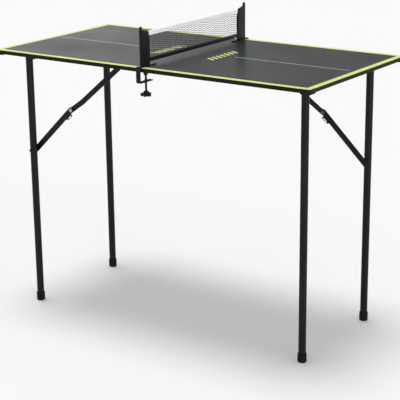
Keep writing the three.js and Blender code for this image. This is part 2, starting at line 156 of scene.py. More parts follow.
def plate(outer, t0, t1, bevel=0.4, holes=(), plane="XZ", seg=3):
    """A flat plate with rounded edges. plane XZ has its thickness along Y, XY along Z and YZ along X."""
    loops = [outer if area(outer) > 0 else outer[::-1]] + [h if area(h) < 0 else h[::-1] for h in holes]
    levels = []
    if bevel > 0:
        for k in range(seg + 1):
            a = math.pi / 2 * k / seg
            levels.append((bevel * (1 - math.sin(a)), t0 + bevel * (1 - math.cos(a))))
        levels += [(i, t1 - (t - t0)) for i, t in reversed(levels)]
    else:
        levels = [(0, t0), (0, t1)]
    verts, faces, starts = [], [], []
    for inset, t in levels:
        row = []
        for loop in loops:
            row.append(len(verts))
            n = len(loop)
            for i, p in enumerate(loop):
                d1, d2 = Vector(p) - Vector(loop[i - 1]), Vector(loop[(i + 1) % n]) - Vector(p)
                if d1.length < 1e-9 or d2.length < 1e-9:
                    m = Vector((0, 0))
                else:
                    d1.normalize(), d2.normalize()
                    n1, n2 = Vector((-d1.y, d1.x)), Vector((-d2.y, d2.x))
                    m = (n1 + n2) / max(0.35, 1 + n1.dot(n2))
                verts.append((p[0] + m.x * inset, p[1] + m.y * inset, t))
        starts.append(row)
    for r1, r2 in zip(starts, starts[1:]):
        for s1, s2, loop in zip(r1, r2, loops):
            n = len(loop)
            for i in range(n):
                j = (i + 1) % n
                faces.append((s1 + i, s1 + j, s2 + j, s2 + i))
    for row, flip in ((starts[0], True), (starts[-1], False)):
        flat = [[Vector((verts[s + i][0], verts[s + i][1], 0)) for i in range(len(l))] for s, l in zip(row, loops)]
        index = [s + i for s, l in zip(row, loops) for i in range(len(l))]
        for tri in tessellate_polygon(flat):
            t = tuple(index[i] for i in tri)
            faces.append(t[::-1] if flip else t)
    if plane == "XZ":
        verts = [(u, t, v) for u, v, t in verts]
    elif plane == "YZ":
        verts = [(t, u, v) for u, v, t in verts]
    return verts, faces


def circle(cx, cy, r, n=28):
    return [(cx + r * math.cos(2 * math.pi * i / n), cy + r * math.sin(2 * math.pi * i / n)) for i in range(n)]


def strip(points, r, n=14):
    """Outline of a flat strip along two or three points, with round ends."""
    p, q, s = points[0], points[len(points) // 2], points[-1]
    a = math.atan2(q[1] - p[1], q[0] - p[0])
    b = math.atan2(s[1] - q[1], s[0] - q[0]) if len(points) == 3 else a
    arc = lambda c, f: [(c[0] + r * math.cos(f + math.pi * i / n), c[1] + r * math.sin(f + math.pi * i / n)) for i in range(n + 1)]
    out = arc(s, b - math.pi / 2)
    if len(points) == 3:
        mid, reach = (a + b) / 2 + math.pi / 2, r / math.cos((b - a) / 2)
        out.append((q[0] + reach * math.cos(mid), q[1] + reach * math.sin(mid)))
    out += arc(p, a + math.pi / 2)
    if len(points) == 3:
        out.append((q[0] - reach * math.cos(mid), q[1] - reach * math.sin(mid)))
    return out


def pipe(path, r, n=6, twist=None):
    """A closed tube along a path that runs roughly along Y."""
    verts, faces = [], []
    for x, y, z in path:
        for i in range(n):
            a = 2 * math.pi * i / n
            verts.append((x + r * math.cos(a), y, z + r * math.sin(a)))
    for k in range(len(path) - 1):
        for i in range(n):
            j = (i + 1) % n
            faces.append((k * n + i, k * n + j, (k + 1) * n + j, (k + 1) * n + i))
    faces.append(tuple(range(n))[::-1])
    faces.append(tuple((len(path) - 1) * n + i for i in range(n)))
    return verts, faces


def carve(ob, verts, faces):
    """Cuts a closed shape out of a piece and applies the result."""
    me = bpy.data.meshes.new("cutter")
    me.from_pydata([(x * MM, y * MM, z * MM) for x, y, z in verts], [], faces)
    bm = bmesh.new()
    bm.from_mesh(me)
    bmesh.ops.recalc_face_normals(bm, faces=bm.faces)
    bm.to_mesh(me)
    bm.free()
    cutter = bpy.data.objects.new("cutter", me)
    SCENE.collection.objects.link(cutter)
    mod = ob.modifiers.new("cut", "BOOLEAN")
    mod.operation, mod.solver, mod.object = "DIFFERENCE", "EXACT", cutter
    graph = bpy.context.evaluated_depsgraph_get()
    done = bpy.data.meshes.new_from_object(ob.evaluated_get(graph))
    ob.modifiers.clear()
    old = ob.data
    ob.data = done
    bpy.data.meshes.remove(old)
    bpy.data.objects.remove(cutter)
    return ob


# ---- materials --------------------------------------------------------------
class Paint:
    """A principled material with its node tree at hand."""

    def __init__(self, name, rough, metal=0.0, spec=0.5, **more):
        self.m = bpy.data.materials.new(name)
        self.m.use_nodes = True
        self.t = self.m.node_tree
        self.b = self.t.nodes["Principled BSDF"]
        self.set("Roughness", rough)
        self.set("Metallic", metal)
        self.set("Specular IOR Level", spec)
        for k, v in more.items():
            self.set(k.replace("_", " "), v)
        self.coord = self.t.nodes.new("ShaderNodeTexCoord").outputs["Object"]

    def set(self, socket, value):
        self.b.inputs[socket].default_value = value

    def link(self, a, b):
        self.t.links.new(a, b)
        return b

    def node(self, kind, **props):
        n = self.t.nodes.new(kind)
        for k, v in props.items():
            setattr(n, k, v)
        return n

    def noise(self, scale, detail=3.0, rough=0.55, stretch=(1, 1, 1), vector=None):
        n = self.node("ShaderNodeTexNoise")
        n.inputs["Scale"].default_value = scale
        n.inputs["Detail"].default_value = detail
        n.inputs["Roughness"].default_value = rough
        v = vector or self.coord
        if stretch != (1, 1, 1):
            m = self.node("ShaderNodeMapping")
            m.inputs["Scale"].default_value = stretch
            self.link(v, m.inputs["Vector"])
            v = m.outputs["Vector"]
        self.link(v, n.inputs["Vector"])
        return n.outputs["Fac"]

    def remap(self, value, a, b, lo, hi):
        n = self.node("ShaderNodeMapRange")
        n.clamp = True
        self.link(value, n.inputs["Value"])
        for k, v in (("From Min", a), ("From Max", b), ("To Min", lo), ("To Max", hi)):
            n.inputs[k].default_value = v
        return n.outputs["Result"]

    def math(self, op, a, b=None, c=None):
        n = self.node("ShaderNodeMath", operation=op)
        for i, v in enumerate((a, b, c)):
            if v is None:
                continue
            if isinstance(v, (int, float)):
                n.inputs[i].default_value = v
            else:
                self.link(v, n.inputs[i])
        return n.outputs[0]

    def mix(self, fac, a, b):
        n = self.node("ShaderNodeMix", data_type="RGBA")
        self.link(fac, n.inputs[0])
        for i, v in ((6, a), (7, b)):
            if isinstance(v, tuple):
                n.inputs[i].default_value = (*v, 1.0)
            else:
                self.link(v, n.inputs[i])
        return n.outputs[2]

    def color(self, out):
        self.link(out, self.b.inputs["Base Color"])

    def rough(self, out):
        self.link(out, self.b.inputs["Roughness"])

    def bump(self, height, distance, strength=1.0, under=None):
        n = self.node("ShaderNodeBump")
        n.inputs["Distance"].default_value = distance
        n.inputs["Strength"].default_value = strength
        self.link(height, n.inputs["Height"])
        if under is not None:
            self.link(under, n.inputs["Normal"])
        self.link(n.outputs["Normal"], self.b.inputs["Normal"])
        return n.outputs["Normal"]

    def edges(self, radius, low=0.03, high=0.25):
        """1 along edges that get rubbed, 0 elsewhere."""
        bev = self.node("ShaderNodeBevel", samples=4)
        bev.inputs["Radius"].default_value = radius
        geo = self.node("ShaderNodeNewGeometry")
        dot = self.node("ShaderNodeVectorMath", operation="DOT_PRODUCT")
        self.link(bev.outputs["Normal"], dot.inputs[0])
        self.link(geo.outputs["Normal"], dot.inputs[1])
        off = self.math("SUBTRACT", 1.0, dot.outputs["Value"])
        return self.remap(off, low, high, 0.0, 1.0)

    def axes(self):
        s = self.node("ShaderNodeSeparateXYZ")
        self.link(self.coord, s.inputs[0])
        return s.outputs[0], s.outputs[1], s.outputs[2]


LINE = (0.76, 0.82, 0.270)
LINE_B = (0.70, 0.765, 0.225)


def board_paint():
    p = Paint("board_paint", 0.30, spec=0.05)
    x, y, z = p.axes()
    ax, ay = p.math("ABSOLUTE", x), p.math("ABSOLUTE", y)
    up = p.math("GREATER_THAN", z, 0.6694)
    ends = p.remap(ax, 0.43555, 0.43585, 0, 1)
    sides = p.remap(ay, 0.21105, 0.21135, 0, 1)
    border = p.math("MAXIMUM", ends, sides)
    thin = p.math("MULTIPLY", p.remap(ay, 0.00135, 0.00155, 1, 0), p.math("MULTIPLY", p.remap(ax, 0.1135, 0.1138, 0, 1), p.remap(ax, 0.4240, 0.4243, 1, 0)))
    # a plain row of slanted bars stands where the photo has lettering
    off = p.math("SUBTRACT", ax, 0.0800)
    slant = p.math("ADD", y, p.math("MULTIPLY", off, 0.45))
    wave = p.math("PINGPONG", p.math("ADD", slant, 0.0), 0.0085)
    bars = p.math("MULTIPLY", p.remap(wave, 0.0040, 0.0043, 1, 0), p.remap(p.math("ABSOLUTE", off), 0.0118, 0.0121, 1, 0))
    bars = p.math("MULTIPLY", bars, p.remap(p.math("ABSOLUTE", slant), 0.0555, 0.0558, 1, 0))
    # paint: cloudy at hand scale, speckled at spray scale
    cloud = p.noise(3.2, 2, 0.5)
    fleck = p.noise(420, 2, 0.6)
    grey = p.mix(p.remap(cloud, 0.32, 0.68, 0, 1), (0.0270, 0.0310, 0.0316), (0.0335, 0.0380, 0.0386))
    grey = p.mix(p.remap(fleck, 0.60, 0.74, 0, 0.35), grey, (0.060, 0.066, 0.067))
    worn = p.noise(55, 5, 0.7)
    yellow = p.mix(p.remap(worn, 0.35, 0.7, 0, 1), LINE, LINE_B)
    white = p.mix(p.remap(worn, 0.35, 0.7, 0, 1), (0.56, 0.59, 0.56), (0.46, 0.49, 0.465))
    c = p.mix(thin, grey, white)
    c = p.mix(bars, c, yellow)
    c = p.mix(border, c, yellow)
    # raw board below the paint: light chipboard speckle
    chip = p.noise(260, 4, 0.7, stretch=(1, 1, 3))
    raw = p.mix(p.remap(chip, 0.35, 0.65, 0, 1), (0.055, 0.052, 0.048), (0.115, 0.105, 0.095))
    p.color(p.mix(up, raw, c))
    scuff = p.noise(5, 3, 0.5)
    p.rough(p.math("ADD", p.remap(scuff, 0.3, 0.7, 0.27, 0.36), p.remap(fleck, 0.3, 0.7, -0.02, 0.02)))
    peel = p.noise(700, 2, 0.5)
    ink = p.math("MAXIMUM", p.math("MAXIMUM", border, thin), bars)
    height = p.math("ADD", p.math("MULTIPLY", peel, 0.5), p.math("MULTIPLY", ink, 0.35))
    p.bump(height, 0.00006, 0.4)
    return p.m


def trim(name, top_line):
    p = Paint(name, 0.5, spec=0.12)
    x, y, z = p.axes()
    grain = p.noise(900, 3, 0.6)
    cloud = p.noise(14, 4, 0.6)
    c = p.mix(p.remap(cloud, 0.3, 0.7, 0, 1), (0.0045, 0.0046, 0.0050), (0.0075, 0.0077, 0.0082))
    rub = p.math("MULTIPLY", p.edges(0.0009), p.remap(p.noise(70, 4, 0.7), 0.42, 0.62, 0.1, 0.8))
    c = p.mix(rub, c, (0.022, 0.0225, 0.023))
    if top_line:
        worn = p.noise(55, 5, 0.7)
        line = p.mix(p.remap(worn, 0.35, 0.7, 0, 1), LINE, LINE_B)
        c = p.mix(p.remap(z, 0.66955, 0.66965, 0, 1), c, line)
    p.color(c)
    p.rough(p.remap(grain, 0.3, 0.7, 0.42, 0.60))
    p.bump(grain, 0.00006, 0.55)
    return p.m


def steel():
    p = Paint("frame_steel", 0.34, metal=0.0, spec=0.15)
    peel = p.noise(520, 3, 0.55)
    cloud = p.noise(11, 4, 0.6)
    c = p.mix(p.remap(cloud, 0.3, 0.7, 0, 1), (0.0040, 0.0050, 0.0058), (0.0068, 0.0082, 0.0094))
    speck = p.noise(1500, 1, 0.5)
    c = p.mix(p.remap(speck, 0.66, 0.74, 0, 0.5), c, (0.018, 0.020, 0.022))
    rub = p.math("MULTIPLY", p.edges(0.0007), p.remap(p.noise(90, 4, 0.75), 0.45, 0.62, 0.05, 0.75))
    c = p.mix(rub, c, (0.030, 0.032, 0.034))
    p.color(c)
    p.rough(p.math("ADD", p.remap(peel, 0.3, 0.7, 0.32, 0.46), p.remap(cloud, 0.3, 0.7, -0.03, 0.03)))
    p.bump(peel, 0.00010, 0.5)
    return p.m


def zinc(name="zinc", k=1.0):
    p = Paint(name, 0.34, metal=1.0)
    grain = p.noise(380, 4, 0.65)
    spangle = p.node("ShaderNodeTexVoronoi")
    spangle.inputs["Scale"].default_value = 900
    p.link(p.coord, spangle.inputs["Vector"])
    tone = p.remap(spangle.outputs["Distance"], 0.0, 0.8, 0, 1)
    shade = lambda *rgb: tuple(v * k for v in rgb)
    c = p.mix(tone, shade(0.50, 0.51, 0.52), shade(0.36, 0.37, 0.385))
    c = p.mix(p.remap(grain, 0.58, 0.75, 0, 0.8), c, shade(0.20, 0.195, 0.185))
    rub = p.edges(0.0005)
    c = p.mix(rub, c, shade(0.66, 0.67, 0.68))
    p.color(c)
    p.rough(p.remap(grain, 0.3, 0.7, 0.26, 0.48))
    p.bump(grain, 0.00005, 0.5)
    return p.m


def rubber():
    p = Paint("foot_rubber", 0.75, spec=0.12)
    x, y, z = p.axes()
    grain = p.noise(850, 3, 0.6)
    dirt = p.noise(120, 5, 0.7)
    c = p.mix(p.remap(grain, 0.3, 0.7, 0, 1), (0.0042, 0.0044, 0.0046), (0.0075, 0.0077, 0.0079))
    low = p.remap(z, 0.0, 0.006, 0.7, 0.0)
    c = p.mix(p.math("MULTIPLY", low, p.remap(dirt, 0.4, 0.65, 0.1, 1.0)), c, (0.040, 0.039, 0.036))
    rub = p.math("MULTIPLY", p.edges(0.0008), p.remap(dirt, 0.4, 0.6, 0.1, 0.8))
    c = p.mix(rub, c, (0.024, 0.024, 0.0235))
    p.color(c)
    p.rough(p.remap(grain, 0.3, 0.7, 0.66, 0.86))
    p.bump(grain, 0.00010, 0.6)
    return p.m


def yarn():
    p = Paint("net_cloth", 0.85, spec=0.1, Sheen_Weight=0.04, Sheen_Roughness=0.5)
    x, y, z = p.axes()
    ply = p.node("ShaderNodeTexWave", wave_type="BANDS", bands_direction="DIAGONAL")
    ply.inputs["Scale"].default_value = 520
    ply.inputs["Distortion"].default_value = 0.8
    ply.inputs["Detail"].default_value = 1.5
    p.link(p.coord, ply.inputs["Vector"])
    fuzz = p.noise(1600, 3, 0.7)
    c = p.mix(ply.outputs["Fac"], (0.0035, 0.0044, 0.0042), (0.0085, 0.0100, 0.0096))
    c = p.mix(p.remap(fuzz, 0.55, 0.8, 0, 0.6), c, (0.024, 0.026, 0.025))
    p.color(c)
    p.rough(p.remap(fuzz, 0.3, 0.7, 0.78, 0.95))
    p.bump(ply.outputs["Fac"], 0.00012, 0.8)
    return p.m


def webbing():
    p = Paint("net_tape", 0.85, spec=0.22, Sheen_Weight=0.3, Sheen_Roughness=0.45)
    x, y, z = p.axes()
    warp = p.node("ShaderNodeTexWave", wave_type="BANDS", bands_direction="Z")
    warp.inputs["Scale"].default_value = 480
    weft = p.node("ShaderNodeTexWave", wave_type="BANDS", bands_direction="Y")
    weft.inputs["Scale"].default_value = 330
    for w in (warp, weft):
        w.inputs["Distortion"].default_value = 0.5
        w.inputs["Detail"].default_value = 1.0
        p.link(p.coord, w.inputs["Vector"])
    weave = p.math("MULTIPLY", warp.outputs["Fac"], weft.outputs["Fac"])
    soil = p.noise(26, 4, 0.65)
    c = p.mix(weave, (0.89, 0.90, 0.885), (0.965, 0.97, 0.96))
    c = p.mix(p.remap(soil, 0.45, 0.75, 0, 0.35), c, (0.76, 0.76, 0.72))
    p.color(c)
    p.rough(p.remap(weave, 0.0, 1.0, 0.92, 0.78))
    p.bump(weave, 0.00014, 0.8)
    return p.m


def thread():
    p = Paint("net_thread", 0.7, spec=0.3)
    ply = p.noise(1900, 2, 0.6)
    p.color(p.mix(ply, (0.70, 0.71, 0.68), (0.88, 0.89, 0.86)))
    p.rough(p.remap(ply, 0.3, 0.7, 0.6, 0.8))
    p.bump(ply, 0.00008, 0.6)
    return p.m


def knob():
    p = Paint("knob_plastic", 0.42, spec=0.16)
    grain = p.noise(1100, 2, 0.55)
    flow = p.noise(45, 4, 0.6)
    c = p.mix(p.remap(flow, 0.3, 0.7, 0, 1), (0.0048, 0.0050, 0.0054), (0.0085, 0.0087, 0.0092))
    rub = p.math("MULTIPLY", p.edges(0.0008), p.remap(flow, 0.4, 0.6, 0.2, 0.9))
    c = p.mix(rub, c, (0.024, 0.0245, 0.025))
    p.color(c)
    p.rough(p.remap(grain, 0.3, 0.7, 0.36, 0.54))
    p.bump(grain, 0.00006, 0.5)
    return p.m


def floor_paint():
    p = Paint("studio_floor", 0.9, spec=0.05)
    soft = p.noise(0.6, 2, 0.5)
    p.color(p.mix(soft, (0.915, 0.915, 0.915), (0.925, 0.925, 0.925)))
    return p.m


BOARD, TRIM, CORNER = board_paint(), trim("edge_trim", True), trim("edge_trim_corner", True)
STEEL, ZINC, RUBBER, YARN, TAPE, THREAD, KNOB = steel(), zinc(), rubber(), yarn(), webbing(), thread(), knob()
# a copy of the zinc at 0.22 of its brightness, used on the knee rivet heads
ZINC_DARKER = zinc("zinc_darker", 0.22)


def paint_node(name, mat):
    """A carried-over CAD node gets its procedural material."""
    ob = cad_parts[name]
    if not ob.material_slots:
        ob.data.materials.append(mat)
    for s in ob.material_slots:
        s.material = mat


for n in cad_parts:
    if n == "table_top_board":
        paint_node(n, BOARD)
    elif n.startswith("corner_cap"):
        paint_node(n, CORNER)
    elif n.startswith("edge_band"):
        paint_node(n, TRIM)
    elif "foot_cap" in n:
        paint_node(n, RUBBER)
    elif "screw_1" in n or "screw_2" in n or "clip_screw" in n or "knee_rivet" in n or "bracket_rivet" in n:
        paint_node(n, ZINC)
    elif n == "net_mesh":
        paint_node(n, YARN)
    elif n == "net_top_tape":
        paint_node(n, TAPE)
    elif "knob" in n or "pad" in n:
        paint_node(n, KNOB)
    else:
        paint_node(n, STEEL)

# ---- edge bands -------------------------------------------------------------
def band(o):
    """Section of the edge band as (out, up), o outwards."""
    pts = [(0, 0), (o * EDGE_T, 0), (o * EDGE_T, 10), (0, 10)]
    return rounded(pts, [0, 1.0, 0.8, 0], 6)


for name, sign in (("edge_band_front", -1), ("edge_band_back", 1)):
    s = [(sign * (HY - EDGE_T) + y, UNDER + z) for y, z in band(sign)]
    build(name + "_moulding", *plate(s, -HX + CAP_LEG + GAP, HX - CAP_LEG - GAP, 0, plane="YZ"), TRIM, "table", "edge_trim", [name], sharp=50)
for name, sign in (("edge_band_left", -1), ("edge_band_right", 1)):
    s = [(sign * (HX - EDGE_T) + x, UNDER + z) for x, z in band(sign)]
    build(name + "_moulding", *plate(s, -HY + CAP_LEG + GAP, HY - CAP_LEG - GAP, 0, plane="XZ"), TRIM, "table", "edge_trim", [name], sharp=50)


# ---- leg frames -------------------------------------------------------------
def knee():
    d = math.hypot(B[0] - A[0], B[1] - A[1])
    t = (LINK_LOW ** 2 - LINK_UP ** 2 + d * d) / (2 * d)
    h = math.sqrt(LINK_LOW ** 2 - t * t)
    u = ((B[0] - A[0]) / d, (B[1] - A[1]) / d)
    return (A[0] + t * u[0] - h * u[1], A[1] + t * u[1] + h * u[0])


M = knee()
LOW = ((M[0] - A[0]) / LINK_LOW, (M[1] - A[1]) / LINK_LOW)
UPD = ((B[0] - M[0]) / LINK_UP, (B[1] - M[1]) / LINK_UP)
PIV = (M[0] - 24 * LOW[0], M[1] - 24 * LOW[1])


def crossbar():
    """The crossbar, coped round both legs, with a weld bead at each joint."""
    n = 72
    verts, faces = [], []
    def cope(x, r):
        return math.sqrt(max(0.0, r * r - x * x))
    for r in (TUBE_R, TUBE_IN):
        for end, sign in ((Y_OUT, 1), (Y_IN, -1)):
            for i in range(n):
                a = 2 * math.pi * i / n
                dx, dz = r * math.cos(a), r * math.sin(a)
                verts.append((LEG_X + dx, end + sign * cope(dx, TUBE_R + GAP), PIVOT_Z + dz))
    ring = lambda k, i: k * n + i % n
    for i in range(n):
        faces.append((ring(0, i), ring(0, i + 1), ring(1, i + 1), ring(1, i)))
        faces.append((ring(2, i), ring(3, i), ring(3, i + 1), ring(2, i + 1)))
        faces.append((ring(0, i), ring(2, i), ring(2, i + 1), ring(0, i + 1)))
        faces.append((ring(1, i), ring(1, i + 1), ring(3, i + 1), ring(3, i)))
    parts = [(verts, faces)]
    for end, sign in ((Y_OUT, 1), (Y_IN, -1)):
        bv, bf, m = [], [], 8
        for i in range(n):
            a = 2 * math.pi * i / n
            out = 0.25 * abs(math.sin(9 * a)) + 0.85
            dx, dz = TUBE_R * math.cos(a), TUBE_R * math.sin(a)
            cy = end + sign * (cope(dx, TUBE_R + GAP) + 0.35)
            for k in range(m):
                b = 2 * math.pi * k / m
                rr = TUBE_R + out * math.cos(b)
                bv.append((LEG_X + rr * math.cos(a), cy + sign * out * math.sin(b), PIVOT_Z + rr * math.sin(a)))
        for i in range(n):
            for k in range(m):
                bf.append((i * m + k, i * m + (k + 1) % m, ((i + 1) % n) * m + (k + 1) % m, ((i + 1) % n) * m + k))
        parts.append((bv, bf))
    return merge(*parts)


def pan_screw(x, y, z):
    """Pan-head screw, head down, its seat at z."""
    prof = [(0, z - 2.4), (1.6, z - 2.36), (2.7, z - 2.15), (3.5, z - 1.65), (3.9, z - 1.0), (4.0, z - 0.4), (3.95, z), (1.75, z)]
    k = z + 0.9
    while k < UNDER + 5:
        prof += [(1.75, k), (1.35, k + 0.35), (1.35, k + 0.55), (1.75, k + 0.9)]
        k += 1.1
    prof += [(1.2, UNDER + 5.8), (0, UNDER + 6.5)]
    return turned(prof, 36, at=(x, y, 0))


def cross_cut(x, y, z, depth=1.3, arm=2.1, w=0.42):
    """The recess in a screw head whose lowest point is z, as a cross-shaped plug."""
    pts = [(arm, w), (w, w), (w, arm), (-w, arm), (-w, w), (-arm, w), (-arm, -w), (-w, -w), (-w, -arm), (w, -arm), (w, -w), (arm, -w)]
    return plate([(x + u, y + v) for u, v in pts], z - 1.0, z + depth, 0, plane="XY")


def domed(y0, y1, r, body_r, inner, outer, n=40, at=(0, 0)):
    """Rivet with a domed head: profile of (radius, y) along Y."""
    return turned([(r_, y_) for r_, y_ in body_r], n, "Y", (at[0], 0, at[1]))


for side, turn in (("left", False), ("right", True)):
    F, LO, UP = f"{side}_frame", f"{side}_lower_link", f"{side}_upper_link"

    def put(node, shape, mat, body, slot, sharp=38.0, tag="_fine"):
        return build(node + tag, *shape, mat, body, slot, [node], turn, sharp)

    for leg, y in (("braced", Y_OUT), ("plain", Y_IN)):
        prof = [(TUBE_IN, 3.3), (TUBE_R - 0.35, 3.3), (TUBE_R - 0.1, 3.45), (TUBE_R, 3.8), (TUBE_R, 654.1), (TUBE_R - 0.12, 654.6), (TUBE_R - 0.45, 654.95), (TUBE_R - 0.7, LEG_TOP), (TUBE_IN, LEG_TOP)]
        put(f"{side}_leg_tube_{leg}", turned(prof, 72, at=(LEG_X, y, 0), closed=True), STEEL, F, "frame_steel", 45)
        cap = [(0, 0), (7.6, 0), (8.9, 0.15), (9.8, 0.6), (10.45, 1.4), (10.75, 2.5)]
        for k in range(3):
            h = 5.0 + 2.2 * k
            cap += [(10.75, h - 0.5), (10.42, h - 0.2), (10.42, h + 0.5), (10.75, h + 0.8)]
        cap += [(10.75, 19.9), (10.68, 20.8), (10.45, 21.5), (10.1, 21.9), (9.75, FOOT_H), (9.32, FOOT_H), (9.3, 21.6), (9.3, 3.0), (0, 3.0)]
        put(f"{side}_foot_cap_{leg}", turned(cap, 72, at=(LEG_X, y, 0)), RUBBER, F, "foot_rubber", 40)
    put(f"{side}_crossbar", crossbar(), STEEL, F, "frame_steel", 50)

    for tag, y in (("outer", CLIP_Y[0]), ("inner", CLIP_Y[1])):
        ring = [(LEG_X - 29, UNDER - GAP), (LEG_X - 29, 656.4), (LEG_X - 7.256, 656.4)]
        a0 = math.degrees(math.atan2(8.4, -7.256))
        ring += [(LEG_X + 11.1 * math.cos(math.radians(a)), PIVOT_Z + 11.1 * math.sin(math.radians(a))) for a in [a0 + (450 - a0) * i / 56 for i in range(1, 57)]]
        ring += [(LEG_X, UNDER - GAP)]
        hole = circle(LEG_X, PIVOT_Z, TUBE_R + GAP, 64)
        put(f"{side}_pivot_clip_{tag}", plate(ring, y - 9, y + 9, 0.45, [hole]), STEEL, "table", "frame_steel")
        ob = put(f"{side}_clip_screw_{tag}", pan_screw(LEG_X - 20, y, 656.1), ZINC, "table", "zinc")
        v, f = cross_cut(LEG_X - 20, y, 656.1 - 2.4)
        if turn:
            v = [(-a, -b, c) for a, b, c in v]
        carve(ob, v, f)

    # brace links, their rivets and the latch
    put(f"{side}_brace_lower_link", plate(strip([A, M], 7.5), *Y_LOW, 0.45, [circle(*A, 3.3), circle(*M, 2.8), circle(*PIV, 2.3)]), STEEL, LO, "frame_steel")
    bend = (M[0] + BEND_AT * UPD[0] + BEND_DROP * UPD[1], M[1] + BEND_AT * UPD[1] - BEND_DROP * UPD[0])
    put(f"{side}_brace_upper_link", plate(strip([B, bend, M], 6.75), *Y_UP, 0.45, [circle(*B, 2.8), circle(*M, 2.8)]), STEEL, UP, "frame_steel")

    def rivet(node, prof, at, body, mat=ZINC, slot="zinc"):
        put(node, turned(prof, 40, "Y", (at[0], 0, at[1])), mat, body, slot, 34)

    leg_in = Y_OUT - TUBE_R
    rivet(f"{side}_leg_rivet", [(0, leg_in - 4.6), (1.4, leg_in - 4.5), (2.8, leg_in - 4.05), (3.9, leg_in - 3.2), (4.65, leg_in - 2.1), (4.95, leg_in - 1.1), (4.95, leg_in - GAP), (3, leg_in - GAP), (3, Y_LATCH[0]), (5.3, Y_LATCH[0]),
        (5.4, Y_LATCH[0] + 0.4), (5.1, Y_LATCH[0] + 0.95), (4.2, Y_LATCH[0] + 1.35), (2.6, Y_LATCH[1] - 0.05), (1.4, Y_LATCH[1] - 0.15), (0, Y_LATCH[1] - 0.35)], A, F, STEEL, "frame_steel")
    y = Y_LOW[0]
    rivet(f"{side}_knee_rivet", [(0, y - 0.9), (1.8, y - 0.88), (3.2, y - 0.8), (4.1, y - 0.6), (4.6, y - GAP), (2.5, y - GAP), (2.5, Y_LATCH[0]), (4.8, Y_LATCH[0]), (4.8, Y_LATCH[1]), (0, Y_LATCH[1])], M, LO)
    y = Y_TAB[0]
    rivet(f"{side}_knee_rivet_head", [(0, Y_UP[0]), (2.5, Y_UP[0]), (2.5, y), (5.15, y), (5.2, y + 0.3), (4.8, y + 0.75), (3.9, y + 1.15), (2.4, y + 1.42), (1.1, y + 1.4), (0, y + 1.25)], M, UP, ZINC_DARKER)
    z0, z1 = Y_LATCH[0] + 0.1, Y_TAB[1] + GAP
    rivet(f"{side}_bracket_rivet", [(0, z0 + 0.15), (1.2, z0 + 0.08), (2.6, z0), (3.6, z0 + 0.2), (4.3, z0 + 0.6), (4.6, z0 + 1.1), (4.6, Y_LATCH[1]), (2.5, Y_LATCH[1]), (2.5, z1), (4.6, z1), (4.6, z1 + 0.4), (4.2, z1 + 0.85), (3.2, z1 + 1.2), (0, z1 + 1.3)], B, "table")

    nrm = (LOW[1], -LOW[0])
    at = lambda al, dn: (PIV[0] + al * LOW[0] + dn * nrm[0], PIV[1] + al * LOW[1] + dn * nrm[1])
    finger = rounded([at(*q) for q in ((-4, -4.5), (4, -4.5), (6.3, -1), (6.3, 4.6), (8, 6.2), (14.6, 7), (16.6, 8.2), (17.1, 10), (16.1, 12), (13.8, 12.9), (3, 12.6), (-2.8, 11.4), (-5.7, 8.6), (-6.7, 5), (-6.3, -1))], 2.5, 4)
    slot = []
    for along, start in ((12, math.pi / 2), (1, -math.pi / 2)):
        slot += [at(along + 1.4 * math.cos(start - math.pi * i / 10), 9.9 + 1.4 * math.sin(start - math.pi * i / 10)) for i in range(11)]
    stub = turned([(0, Y_LOW[0] + 0.2), (1.7, Y_LOW[0] + 0.2), (2.0, Y_LOW[0] + 0.5), (2.0, Y_LATCH[1] - 0.2), (0, Y_LATCH[1] - 0.2)], 28, "Y", (PIV[0], 0, PIV[1]))
    put(f"{side}_brace_latch", merge(plate(finger, *Y_LATCH, 0.4, [slot]), stub), STEEL, f"{side}_latch", "frame_steel")

# ---- net set ----------------------------------------------------------------
NET_LO, NET_HI, NET_Y = 688.3, 739.7, 186.4


def net_strands():
    """Knotless netting: yarns run along the net in a trapezoid wave and pair up, lightly twisted, with the one above and the one below in turn."""
    rows, cells = 20, 13
    r = 0.38
    pitch = (NET_HI - NET_LO - 2 * r - 0.1) / rows
    amp = pitch / 2 - r * 0.92
    end = NET_Y - 0.5
    half = 2 * end / (2 * cells)
    rng = random.Random(7)
    parts = []
    for k in range(rows + 1):
        mid = NET_LO + r + 0.05 + k * pitch
        path = []
        for h in range(2 * cells):
            want = 1 if (h + k) % 2 == 0 else -1
            if k == 0:
                want = max(want, 0)
            if k == rows:
                want = min(want, 0)
            y0 = -end + h * half
            for f in (0.0, 0.16, 0.24, 0.34, 0.50, 0.66, 0.76, 0.84):
                ramp = 0.0 if f == 0.0 else min(1.0, min(f, 1 - f) / 0.24)
                ramp = ramp * ramp * (3 - 2 * ramp)
                z = mid + want * amp * ramp
                x = 0.24 * ramp * math.sin(2 * math.pi * (f - 0.24) / 0.26) * (1 if want > 0 else -1) if 0.24 < f < 0.76 else 0.0
                path.append((x + rng.uniform(-0.02, 0.02), y0 + f * half, z + rng.uniform(-0.06, 0.06)))
        path.append((0, end, mid))
        path = [(x, y, min(max(z, NET_LO + r), NET_HI - r)) for x, y, z in path]
        parts.append(pipe(path, r, 6))
    for s in (-1, 1):
        n, v, f = 8, [], []
        zs = [NET_LO + 0.02 + (NET_HI - NET_LO - 0.04) * i / 60 for i in range(61)]
        for i, z in enumerate(zs):
            for j in range(n):
                a = 2 * math.pi * j / n
                rr = 0.42 + 0.05 * math.sin(i * 1.9 + a)
                v.append((rr * math.cos(a), s * (NET_Y - 0.5) + rr * math.sin(a), z))
        for i in range(60):
            for j in range(n):
                f.append((i * n + j, i * n + (j + 1) % n, (i + 1) * n + (j + 1) % n, (i + 1) * n + j))
        f.append(tuple(range(n))[::-1])
        f.append(tuple(60 * n + j for j in range(n)))
        parts.append((v, f))
    return merge(*parts)


net = build("net_strands", *net_strands(), YARN, "table", "net_cloth", ["net_mesh"], sharp=60)


